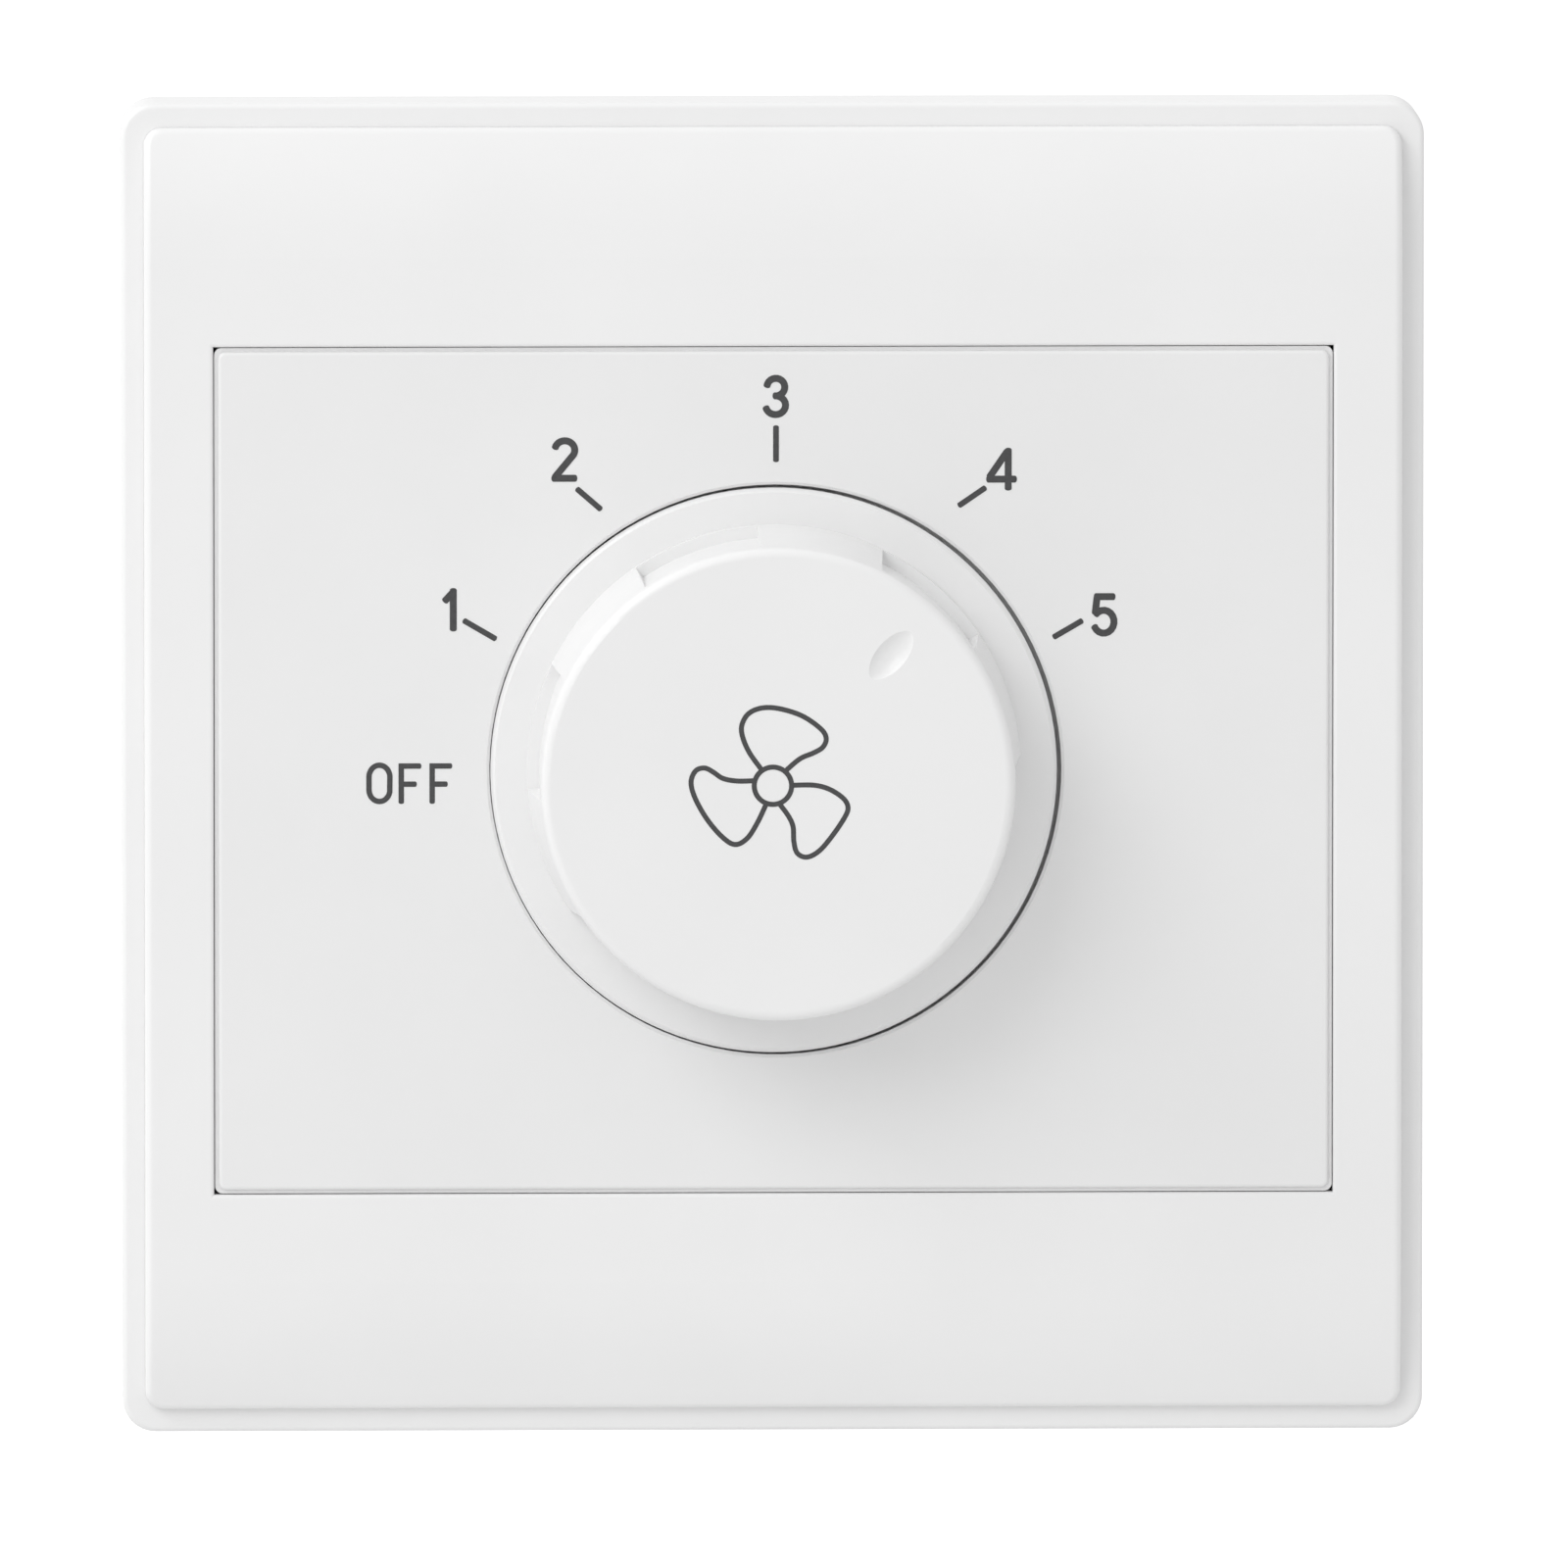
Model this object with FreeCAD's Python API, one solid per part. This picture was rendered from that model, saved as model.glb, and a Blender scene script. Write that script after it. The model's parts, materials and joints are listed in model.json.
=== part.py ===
# Wall-mounted fan speed control: a knob with OFF and five speeds, a rotary switch and a tapped choke
import FreeCAD, Part
import math
import os

# The wall is the plane y = 0 and the front faces -Y, with +X to the right as seen from the front and +Z up.
# The origin is halfway between the two wall-screw slots. All sizes are millimetres and degrees.
# Angles round the knob run anticlockwise from +X as seen from the front.

# Mounting frame and front cover
plate_width = 86.0
plate_height = 88.0
plate_thickness = 9.0
plate_corner_radius = 2.2
rim_height = 6.8
rim_wall = 1.35
rim_edge_radius = 0.35
back_rim_width = 2.5
web_recess = 1.4
web_thickness = 2.0
cover_joint = 0.15
cover_seat = 0.7
cover_seat_gap = 0.03
cover_fit = 0.1
cover_wall = 1.5
cover_corner_radius = 1.2
cover_inner_radius = 0.6
cover_edge_radius = 0.5
cover_crown_drop = 1.4
cover_crown_width = 8.5
face_thickness = 1.8
side_border = 4.55
window_height = 56.1
window_return_wall = 1.2
window_return_depth = 1.6

# Wall-screw slots
screw_spacing = 60.3
screw_slot_length = 6.8
screw_slot_width = 4.4
screw_pad_margin = 1.6
screw_pad_to_housing = 0.65

# Dial panel
panel_joint = 0.3
panel_step_depth = 0.35
panel_step_fit = 0.06
panel_corner_radius = 0.5
panel_edge_radius = 0.25
panel_leg_inset = 0.5
panel_leg_wall = 1.2
well_gap = 0.18
well_right = 0.12
well_up = 0.03
well_chamfer = 0.2
well_wall = 1.2
well_floor_thickness = 1.1

# Snap hooks of the cover and of the panel
hook_width = 7.0
hook_thickness = 1.2
hook_barb = 0.6
hook_play = 0.15
hook_wall_gap = 0.3
cover_hook_offset = 22.0
panel_hook_offset = 15.0

# Knob
knob_skirt_radius = 18.7
knob_skirt_thickness = 1.6
knob_skirt_proud = 0.1
knob_skirt_lift = 0.4
knob_skirt_chamfer = 0.3
knob_height = 11.0
knob_base_radius = 16.3
knob_base_band = 0.9
knob_top_radius = 15.55
knob_bevel_radius = 0.6
knob_wall = 1.7
knob_rib_width = 1.0
knob_boss_radius = 4.75
grip_count = 6
grip_depth = 0.8
grip_rim_band = 0.6
pointer_angle = 49.0
pointer_radius = 11.3
pointer_length = 3.6
pointer_width = 1.95
pointer_depth = 0.5
knob_clip_thickness = 0.35
knob_clip_bow = 0.15
knob_clip_length = 8.0
knob_clip_width = 4.1

# Positions of the control: OFF at off_angle, then one speed each index_step down to the fastest
off_angle = 180.0
index_step = 30.0
speed_count = 5

# Shaft, bushing and their fixings
shaft_radius = 3.0
shaft_clearance = 0.05
shaft_flat_distance = 1.5
shaft_chamfer = 0.3
shaft_key_width = 4.6
key_clearance = 0.03
bushing_radius = 4.5
bushing_spare = 0.9
bushing_chamfer = 0.5
washer_radius = 7.2
washer_thickness = 0.5
nut_across_flats = 12.0
nut_thickness = 2.0
circlip_radius = 4.4
circlip_thickness = 0.5
circlip_groove_depth = 0.6
circlip_mouth = 3.8
circlip_play = 0.1
thread_clearance = 0.05

# Rotary switch
switch_plate_thickness = 1.6
switch_corner_radius = 1.5
switch_wall = 1.0
wheel_radius = 8.3
wheel_thickness = 3.4
wheel_gap = 0.25
wheel_notches = 12
notch_radius = 1.55
notch_depth = 0.8
ball_radius = 1.5
ball_gap = 0.05
detent_floor_thickness = 1.0
spring_thickness = 0.3
spring_bow = 0.5
spring_length = 16.0
spring_width = 3.0
stop_lug_radius = 0.8
stop_lug_distance = 6.0
stop_lug_height = 1.0
stop_groove_gap = 0.15
stop_overtravel = 0.5
rotor_radius = 8.6
rotor_thickness = 1.8
rotor_hub_radius = 4.2
rotor_hub_height = 0.5
rotor_gap = 0.4
wiper_height = 3.0
wiper_width = 2.2
wiper_thickness = 0.3
wiper_stud_radius = 0.6
contact_gap = 0.05
contact_thickness = 0.35
contact_radius = 8.0
contact_pad_radius = 1.1
common_inner_radius = 3.0
common_outer_radius = 4.8
base_floor_thickness = 2.0
base_clearance = 0.8
pin_width = 1.0
pin_thickness = 0.6
pin_clearance = 0.05
pin_protrusion = 1.0
switch_screw_radius = 1.0
switch_screw_head_radius = 1.9
switch_screw_head_height = 1.2

# Circuit board
board_thickness = 1.6
board_edge_gap = 0.4

# Tapped choke
core_width = 35.0
core_height = 29.0
core_stack = 10.0
coil_build = 4.0
coil_side_gap = 0.35
coil_corner_radius = 2.5
bobbin_wall = 0.8
bobbin_flange_thickness = 0.9
bobbin_foot_depth = 2.4
bobbin_foot_width = 2.4
bobbin_fit = 0.1
choke_pin_pitch = 4.4
choke_top_gap = 1.2
bracket_thickness = 0.8
bracket_tab_width = 5.0
coil_standoff = 0.6

# Terminal block
terminal_pitch = 7.62
terminal_count = 2
terminal_end_wall = 0.8
terminal_height = 13.0
terminal_depth = 10.5
terminal_edge_gap = 0.3
clamp_width = 5.6
clamp_depth = 5.2
clamp_height = 8.0
clamp_window = 4.4
clamp_side_wall = 0.6
clamp_fit = 0.1
wire_entry_radius = 2.0
terminal_screw_radius = 1.5
terminal_screw_head_radius = 2.2
terminal_screw_head_height = 1.6
terminal_screw_recess = 1.2

# Rear housing and its screws
housing_height = 55.0
housing_wall = 1.8
housing_corner_radius = 2.0
housing_inner_radius = 0.6
housing_rear_gap = 0.8
boss_radius = 3.2
boss_corner_offset = 3.0
boss_end_gap = 0.6
board_rib_size = 2.0
board_rib_offset = 9.0
spigot_wall = 1.2
spigot_depth = 2.5
spigot_fit = 0.1
vent_width = 1.6
vent_length = 16.0
vent_pitch = 4.0
vent_count = 6
top_vent_count = 4
housing_screw_radius = 1.4
housing_screw_head_radius = 2.8
housing_screw_head_height = 1.8
housing_screw_length = 9.5
screw_hole_gap = 0.2
drive_slot_width = 0.7
drive_slot_depth = 0.6

Vector = FreeCAD.Vector
ORIGIN = Vector(0, 0, 0)
INTO_WALL = Vector(0, 1, 0)
TO_VIEWER = Vector(0, -1, 0)
FULL_TURN = 360.0
# How far a cutting body reaches past the face it cuts
PAST = 1.0
# Coordinates closer than this are the same
SAME = 1e-4

# Depths in front of the wall
web_back = -web_recess
web_front = web_back - web_thickness
face_front = -plate_thickness
face_back = face_front + face_thickness
skirt_front = face_front - knob_skirt_proud
skirt_back = skirt_front + knob_skirt_thickness
well_floor_front = skirt_back + knob_skirt_lift
well_floor_back = well_floor_front + well_floor_thickness
knob_front = skirt_front - knob_height
knob_cavity_front = knob_front + knob_wall
washer_front = web_front - washer_thickness
nut_front = washer_front - nut_thickness
bushing_front = nut_front - bushing_spare
circlip_back = bushing_front - circlip_play
circlip_front = circlip_back - circlip_thickness
boss_back = circlip_front - knob_skirt_lift
bore_front = knob_cavity_front + knob_rib_width
shaft_front = bore_front + key_clearance

# Depths behind the wall plane
switch_plate_back = web_back + switch_plate_thickness
wheel_front = switch_plate_back + wheel_gap
wheel_back = wheel_front + wheel_thickness
detent_floor = wheel_back + wheel_gap
detent_back = detent_floor + detent_floor_thickness
rotor_front = detent_back + rotor_gap
rotor_back = rotor_front + rotor_thickness
hub_back = rotor_back + rotor_hub_height
wiper_tip = rotor_back + wiper_height
contact_face = wiper_tip + contact_gap
base_floor = contact_face + contact_thickness
base_back = base_floor + base_floor_thickness
board_front = base_back
board_back = board_front + board_thickness
pin_end = board_back + pin_protrusion
coil_front = pin_end + coil_standoff
core_front = coil_front + coil_build + bobbin_wall + bobbin_fit
core_back = core_front + core_stack
coil_back = core_back + bobbin_fit + bobbin_wall + coil_build
core_middle = (core_front + core_back) / 2
terminal_back = board_back + terminal_height
step_back = terminal_back + terminal_edge_gap
housing_front = web_back
housing_inner_back = coil_back + housing_rear_gap
housing_back = housing_inner_back + housing_wall

# Sizes across the plate
cover_width = plate_width - 2 * (rim_wall + cover_joint)
cover_height = plate_height - 2 * (rim_wall + cover_joint) - cover_joint
window_width = cover_width - 2 * side_border
panel_width = window_width - 2 * panel_joint
panel_height = window_height - 2 * panel_joint
crown_radius = (cover_crown_width ** 2 + cover_crown_drop ** 2) / (2 * cover_crown_drop)
crown_start = cover_height / 2 - cover_crown_width
well_radius = knob_skirt_radius + well_gap
nut_corner_radius = nut_across_flats / math.sqrt(3)
knob_clip_seat = shaft_flat_distance + key_clearance + knob_clip_thickness + knob_clip_bow
cover_hook_face = cover_height / 2 - cover_wall
panel_leg_width = panel_width - 2 * panel_leg_inset
panel_leg_height = panel_height - 2 * panel_leg_inset
panel_hook_face = panel_leg_width / 2 - panel_leg_wall

# Sizes across the switch
ball_distance = wheel_radius + ball_gap + ball_radius
spring_middle = ball_distance + ball_radius + ball_gap
spring_seat = spring_middle + spring_thickness + spring_bow
switch_half = spring_seat + switch_wall
ball_angle = 90.0
top_speed_angle = off_angle - speed_count * index_step
common_radius = (common_inner_radius + common_outer_radius) / 2
base_cavity_radius = contact_radius + contact_pad_radius + base_clearance
switch_screw_offset = switch_half - switch_wall - switch_screw_head_radius / 2

# Sizes across the rear housing
housing_width = screw_spacing - screw_slot_length - 2 * (screw_pad_margin + screw_pad_to_housing)
inner_half_width = housing_width / 2 - housing_wall
inner_half_height = housing_height / 2 - housing_wall
board_half_width = inner_half_width - board_edge_gap
board_half_height = inner_half_height - board_edge_gap
boss_x = inner_half_width - boss_corner_offset
boss_z = inner_half_height - boss_corner_offset
boss_back_end = board_front - boss_end_gap
terminal_bottom = -housing_height / 2 + terminal_edge_gap
terminal_top = terminal_bottom + terminal_depth
terminal_half_width = terminal_count * terminal_pitch / 2 + terminal_end_wall
clamp_front = board_back + clamp_side_wall
clamp_middle_z = (terminal_bottom + terminal_top) / 2
wire_middle = clamp_front + clamp_side_wall + clamp_window / 2
step_wall_bottom = terminal_top + terminal_edge_gap
choke_z = inner_half_height - choke_top_gap - bracket_thickness - core_height / 2
core_leg = core_width / 6


def box(x0, x1, y0, y1, z0, z1):
    """Block between the given coordinates."""
    return Part.makeBox(x1 - x0, y1 - y0, z1 - z0, Vector(x0, y0, z0))


def edges_where(shape, test):
    """Edges whose ends and middle all pass the test."""
    found = []
    for edge in shape.Edges:
        middle = edge.valueAt((edge.FirstParameter + edge.LastParameter) / 2)
        points = [vertex.Point for vertex in edge.Vertexes] + [middle]
        if all(test(point) for point in points):
            found.append(edge)
    return found


def near(value, target):
    """Whether two coordinates are the same."""
    return abs(value - target) < SAME


def at_depth(depth):
    """Test for points at a depth."""
    return lambda p: near(p.y, depth)


def on_circle(depth, radius, x=0.0, z=0.0):
    """Test for points on a circle round the knob axis, or round x and z."""
    return lambda p: near(p.y, depth) and near(math.hypot(p.x - x, p.z - z), radius)


def rounded_block(x0, x1, y0, y1, z0, z1, radius):
    """Block with the four edges that run into the wall rounded."""
    block = box(x0, x1, y0, y1, z0, z1)
    return block.makeFillet(radius, [edge for edge in block.Edges if near(edge.BoundBox.YLength, y1 - y0)])


def centred_block(width, height, front, back, radius):
    """Block of rounded outline centred on the knob axis."""
    return rounded_block(-width / 2, width / 2, front, back, -height / 2, height / 2, radius)


def centred_box(width, height, front, back):
    """Sharp-cornered block centred on the knob axis."""
    return box(-width / 2, width / 2, front, back, -height / 2, height / 2)


def disc(radius, front, back, x=0.0, z=0.0):
    """Cylinder that runs into the wall between two depths."""
    return Part.makeCylinder(radius, back - front, Vector(x, front, z), INTO_WALL)


def ring(outer, inner, front, back):
    """Washer shape round the knob axis."""
    return disc(outer, front, back).cut(disc(inner, front - PAST, back + PAST))


def polar(radius, angle):
    """x and z of a point at an angle round the knob axis."""
    return radius * math.cos(math.radians(angle)), radius * math.sin(math.radians(angle))


def turn(shape, angle):
    """Turns a shape anticlockwise round the knob axis, in place, and returns it."""
    shape.rotate(ORIGIN, TO_VIEWER, angle)
    return shape


def turned(profile, sweep=FULL_TURN):
    """Solid of revolution round the knob axis from (radius, depth) points."""
    points = [Vector(radius, depth, 0) for radius, depth in profile]
    return Part.Face(Part.makePolygon(points + points[:1])).revolve(ORIGIN, TO_VIEWER, sweep)


def sector(inner, outer, front, back, start, sweep):
    """Part of a ring round the knob axis, from a start angle."""
    profile = [(inner, front), (outer, front), (outer, back), (inner, back)]
    return turn(turned(profile, sweep), start)


def extruded(points, direction):
    """Prism from a closed outline of points."""
    return Part.Face(Part.makePolygon(points + points[:1])).extrude(direction)


def fused(shapes):
    """One solid from touching or overlapping shapes."""
    return shapes[0].multiFuse(shapes[1:]).removeSplitter()


def corners(x, z):
    """The four points at plus and minus x and z."""
    return [(sx * x, sz * z) for sx in (-1, 1) for sz in (-1, 1)]


def slot(length, width, front, back, x):
    """Round-ended slot along X, centred at x."""
    reach = (length - width) / 2
    middle = box(x - reach, x + reach, front, back, -width / 2, width / 2)
    ends = [disc(width / 2, front, back, x + side * reach) for side in (-1, 1)]
    return fused([middle] + ends)


def crowned_block(width, height, corner_radius, front, flat_half, radius, back):
    """Block whose front is flat in the middle and rounds back towards its top and bottom edges."""
    half = height / 2
    reach = half - flat_half
    fall = math.asin(reach / radius)

    def crown_point(angle, side):
        z = side * (flat_half + radius * math.sin(angle))
        return Vector(-width / 2, front + radius * (1 - math.cos(angle)), z)

    def crown_arc(first, last, side):
        points = [crown_point(angle, side) for angle in (first, fall / 2, last)]
        return Part.Arc(*points).toShape()

    foot = [Vector(-width / 2, back, -half), Vector(-width / 2, back, half)]
    outline = [
        Part.makeLine(foot[0], foot[1]),
        Part.makeLine(foot[1], crown_point(fall, 1)),
        crown_arc(fall, 0, 1),
        Part.makeLine(crown_point(0, 1), crown_point(0, -1)),
        crown_arc(0, fall, -1),
        Part.makeLine(crown_point(fall, -1), foot[0]),
    ]
    crown = Part.Face(Part.Wire(outline)).extrude(Vector(width, 0, 0))
    return crown.common(centred_block(width, height, front - PAST, back, corner_radius))


def snap_hook(face, offset, root, side):
    """Snap hook whose back lies on a wall face at that distance from the axis, on the side at that angle."""
    catch = web_back + hook_play / 2
    tip = -hook_wall_gap
    outline = [
        (0, root),
        (hook_thickness, root),
        (hook_thickness, catch),
        (hook_thickness + hook_barb, catch),
        (hook_thickness + hook_barb, catch + hook_play),
        (hook_thickness / 2, tip),
        (0, tip),
    ]
    points = [Vector(face - inward, depth, offset - hook_width / 2) for inward, depth in outline]
    return turn(extruded(points, Vector(0, 0, hook_width)), side)


def snap_window(face, offset, side):
    """Opening in the frame's web for one snap hook, placed as the hook is."""
    inner = face - hook_thickness - hook_play
    outer = face + hook_play
    half = hook_width / 2 + hook_play
    return turn(box(inner, outer, web_front - PAST, web_back + PAST, offset - half, offset + half), side)


def hook_places():
    """Wall face distance, offset along the wall and side angle of the cover's hooks, then the panel's."""
    cover = [(cover_hook_face, end * cover_hook_offset, side) for side in (90, 270) for end in (-1, 1)]
    panel = [(panel_hook_face, end * panel_hook_offset, side) for side in (0, 180) for end in (-1, 1)]
    return cover, panel


def copies(solid, places):
    """The same solid at each x and z."""
    moved = []
    for x, z in places:
        moved.append(solid.copy())
        moved[-1].translate(Vector(x, 0, z))
    return Part.makeCompound(moved)


def pan_head_screw(shank_radius, head_radius, head_height, head_face, length, direction):
    """Slotted screw on the knob axis whose head lies past head_face in the given direction."""
    outward = direction.y
    top = head_face + outward * head_height
    tip = head_face - outward * length
    shoulder = top - outward * head_height / 3
    screw = turned([
        (0, top),
        (head_radius - head_height / 3, top),
        (head_radius, shoulder),
        (head_radius, head_face),
        (shank_radius, head_face),
        (shank_radius, tip),
        (0, tip),
    ])
    floor = top - outward * drive_slot_depth
    half = drive_slot_width / 2
    return screw.cut(box(-head_radius, head_radius, min(top, floor), max(top, floor), -half, half))


def shaft_key(clearance, front, back):
    """Two-flatted rear section of the shaft, or the hole that takes it."""
    flats = centred_box(shaft_key_width + 2 * clearance, 4 * shaft_radius, front, back)
    return turn(disc(shaft_radius + clearance, front, back).common(flats), pointer_angle)


def pin_block(x, z, front, back, clearance=0.0):
    """Flat contact or solder pin, or the hole for it."""
    half_width = pin_width / 2 + clearance
    half_thickness = pin_thickness / 2 + clearance
    return box(x - half_width, x + half_width, front, back, z - half_thickness, z + half_thickness)


def speed_angles():
    """Angle of each speed position, from the slowest to the fastest."""
    return [off_angle - step * index_step for step in range(1, speed_count + 1)]


def switch_pin_places():
    """x and z of each switch pin: the speeds, then the common contact."""
    return [polar(contact_radius, angle) for angle in speed_angles()] + [polar(common_radius, 270)]


def choke_pin_places():
    """x and z of each choke pin, in one row on the upper flange."""
    row = choke_z + core_height / 2 - core_leg - bobbin_foot_depth / 2
    first = -(speed_count - 1) * choke_pin_pitch / 2
    return [(first + number * choke_pin_pitch, row) for number in range(speed_count)]


def terminal_places():
    """x of each terminal."""
    first = -(terminal_count - 1) * terminal_pitch / 2
    return [first + number * terminal_pitch for number in range(terminal_count)]


def switch_screw_places():
    """x and z of the two screws that clamp the switch together."""
    return [(side * switch_screw_offset, -side * switch_screw_offset) for side in (-1, 1)]


def make_mounting_frame():
    """Moulded carrier: rim, web, screw pads, spigot for the housing and windows for the hooks."""
    body = centred_block(plate_width, plate_height, -rim_height, 0, plate_corner_radius)
    body = body.makeFillet(rim_edge_radius, edges_where(body, at_depth(-rim_height)))
    tray_width = cover_width - 2 * (cover_seat - cover_fit)
    tray_height = cover_height - 2 * (cover_seat - cover_fit)
    tray = centred_block(tray_width, tray_height, -rim_height - PAST, web_front, cover_inner_radius)
    recess = centred_box(plate_width - 2 * back_rim_width, plate_height - 2 * back_rim_width, web_back, PAST)
    body = body.cut(tray).cut(recess)
    pad_length = screw_slot_length + 2 * screw_pad_margin
    pad_width = screw_slot_width + 2 * screw_pad_margin
    slot_x = [side * screw_spacing / 2 for side in (-1, 1)]
    pads = [slot(pad_length, pad_width, web_back, 0, x) for x in slot_x]
    spigot_width = 2 * (inner_half_width - spigot_fit)
    spigot_height = 2 * (inner_half_height - spigot_fit)
    spigot_end = web_back + spigot_depth
    hollow_width = spigot_width - 2 * spigot_wall
    hollow_height = spigot_height - 2 * spigot_wall
    spigot = centred_block(spigot_width, spigot_height, web_back, spigot_end, housing_inner_radius)
    spigot = spigot.cut(centred_box(hollow_width, hollow_height, web_back, spigot_end))
    for x, z in corners(boss_x, boss_z):
        spigot = spigot.cut(disc(boss_radius + screw_hole_gap, web_back, spigot_end, x, z))
    body = fused([body, spigot] + pads)
    cuts = [slot(screw_slot_length, screw_slot_width, web_front - PAST, PAST, x) for x in slot_x]
    cuts.append(disc(bushing_radius + thread_clearance, web_front - PAST, web_back + PAST))
    cuts.append(key_lug(pin_clearance))
    for x, z in corners(boss_x, boss_z):
        cuts.append(disc(housing_screw_radius + screw_hole_gap, web_front - PAST, web_back + PAST, x, z))
    cover_hooks, panel_hooks = hook_places()
    cuts += [snap_window(*place) for place in cover_hooks + panel_hooks]
    return body.cut(Part.makeCompound(cuts))


def make_front_cover():
    """Surround with a crowned face and a window. Its edge rests on the frame's rim, its skirt goes inside."""
    outer = crowned_block(cover_width, cover_height, cover_corner_radius,
                          face_front, crown_start, crown_radius, -rim_height - cover_seat_gap)
    edge_depth = face_front + cover_crown_drop

    def on_front_edge(p):
        beside = abs(p.x) > cover_width / 2 - cover_corner_radius
        above = abs(p.z) > cover_height / 2 - cover_corner_radius
        return p.y < edge_depth + SAME and (beside or above)

    outer = outer.makeFillet(cover_edge_radius, edges_where(outer, on_front_edge))
    inner = crowned_block(cover_width - 2 * cover_wall, cover_height - 2 * cover_wall, cover_inner_radius,
                          face_back, crown_start, crown_radius - face_thickness, web_front + PAST)
    skirt_width = cover_width - 2 * cover_seat
    skirt_height = cover_height - 2 * cover_seat
    skirt = centred_block(skirt_width, skirt_height, face_back, web_front, cover_inner_radius)
    shell = fused([outer, skirt]).cut(inner)
    return_back = face_back + window_return_depth
    lip_width = window_width + 2 * window_return_wall
    lip_height = window_height + 2 * window_return_wall
    lip = centred_box(lip_width, lip_height, face_back, return_back)
    window = centred_box(window_width, window_height, face_front - PAST, return_back + PAST)
    hooks = [snap_hook(face, offset, return_back, side) for face, offset, side in hook_places()[0]]
    cover = fused([shell, lip] + hooks).cut(window)

    def on_window_edge(p):
        within = abs(p.x) < window_width / 2 + SAME and abs(p.z) < window_height / 2 + SAME
        return within and near(p.y, face_front)

    return cover.makeFillet(panel_edge_radius, edges_where(cover, on_window_edge))


def make_dial_panel():
    """Inset panel, stepped at its edge, with the round well that the knob's skirt sits in."""
    panel = centred_block(panel_width, panel_height, face_front, face_back, panel_corner_radius)
    panel = panel.makeFillet(panel_edge_radius, edges_where(panel, at_depth(face_front)))
    legs = centred_box(panel_leg_width, panel_leg_height, face_back, web_front)
    inside_width = panel_leg_width - 2 * panel_leg_wall
    inside_height = panel_leg_height - 2 * panel_leg_wall
    legs = legs.cut(centred_box(inside_width, inside_height, face_back, web_front))
    for x, z in corners(boss_x, boss_z):
        legs = legs.cut(disc(housing_screw_head_radius + hook_wall_gap, face_back, web_front, x, z))
    step_width = window_width - 2 * panel_step_fit
    step_height = window_height - 2 * panel_step_fit
    step_front = face_front + panel_step_depth
    step = centred_block(step_width, step_height, step_front, face_back, panel_corner_radius)
    well = disc(well_radius + well_wall, face_back, well_floor_back, well_right, well_up)
    hooks = [snap_hook(face, offset, face_back, side) for face, offset, side in hook_places()[1]]
    panel = fused([panel, step, legs, well] + hooks)
    panel = panel.cut(disc(well_radius, face_front - PAST, well_floor_front, well_right, well_up))
    panel = panel.cut(disc(nut_corner_radius + well_wall, well_floor_front - PAST, well_floor_back + PAST))
    well_edge = edges_where(panel, on_circle(face_front, well_radius, well_right, well_up))
    return panel.makeChamfer(well_chamfer, well_edge)


def knob_outside():
    """Skirt and tapered body as one turned form."""
    taper_top = knob_front + knob_bevel_radius
    profile = [
        (0, knob_front),
        (knob_top_radius, knob_front),
        (knob_base_radius, skirt_front - knob_base_band),
        (knob_base_radius, skirt_front),
        (knob_skirt_radius, skirt_front),
        (knob_skirt_radius, skirt_back),
        (0, skirt_back),
    ]
    body = turned(profile)
    body = body.makeFillet(knob_bevel_radius, edges_where(body, at_depth(knob_front)))
    body = body.makeChamfer(knob_skirt_chamfer, edges_where(body, on_circle(skirt_front, knob_skirt_radius)))
    floor_radius = knob_base_radius - grip_depth
    sweep = FULL_TURN / grip_count / 2
    for number in range(grip_count):
        start = pointer_angle - sweep / 2 + number * 2 * sweep
        body = body.cut(sector(floor_radius, knob_base_radius + PAST, taper_top + grip_rim_band,
                               skirt_front - knob_base_band, start, sweep))
    return body


def pointer_dimple():
    """Spindle-shaped scoop that marks the pointer: a lens of arc turned about its long axis."""
    half_width = pointer_width / 2
    ball = (half_width ** 2 + pointer_depth ** 2) / (2 * pointer_depth)
    axis_height = ball - pointer_depth
    half_length = pointer_length / 2
    reach = math.sqrt(max(half_length ** 2, ball ** 2 - axis_height ** 2))
    arc_radius = (reach ** 2 + ball ** 2 - axis_height ** 2) / (2 * (ball - axis_height))
    centre = ball - arc_radius
    tip = math.sqrt(arc_radius ** 2 - centre ** 2)
    axis_y = knob_front - axis_height
    start = Vector(pointer_radius - tip, axis_y, 0)
    end = Vector(pointer_radius + tip, axis_y, 0)
    crest = Vector(pointer_radius, axis_y + ball, 0)
    outline = Part.Wire([Part.Arc(start, crest, end).toShape(), Part.makeLine(end, start)])
    return turn(Part.Face(outline).revolve(start, Vector(1, 0, 0), FULL_TURN), pointer_angle)


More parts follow.
